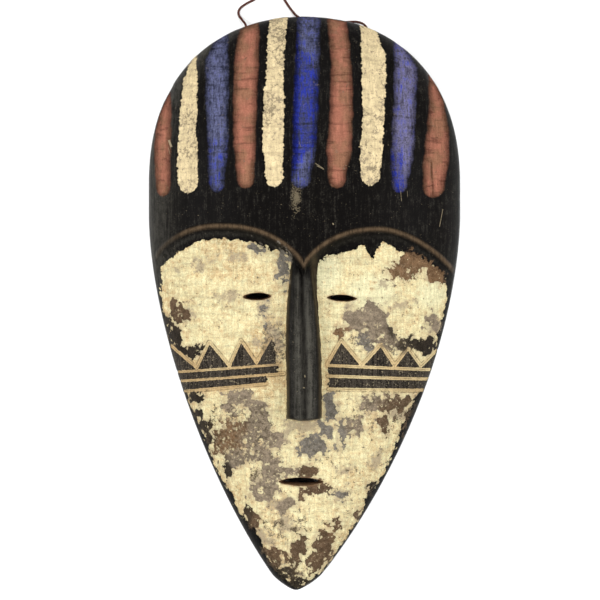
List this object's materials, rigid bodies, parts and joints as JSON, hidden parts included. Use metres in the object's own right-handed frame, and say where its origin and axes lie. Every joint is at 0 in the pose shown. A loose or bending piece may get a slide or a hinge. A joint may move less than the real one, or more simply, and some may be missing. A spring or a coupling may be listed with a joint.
{
  "type": "carved wooden face mask",
  "caption": "Long carved wooden face mask, hollow behind, with painted flutes over the forehead, arched brows, slit eyes and mouth, zigzag cheek cuts and a string to hang it by.",
  "frame": {"origin": "centre of the mask's own footprint, in the plane of its back rim, string left out", "axes": "the mask lies face up: +Z out of the face, +Y toward the forehead, +X to the right of the face as seen from above"},
  "size_m": [0.2172, 0.4213, 0.0633],
  "materials": {
    "painted_wood": "black stained wood, waxed, with worn cream, blue and red-brown paint",
    "string": "twisted thread"
  },
  "bodies": {
    "root": {"mask": "painted_wood", "hanging_cord": "string", "cord_knot_left": "string", "cord_knot_right": "string"}
  },
  "joints": []
}
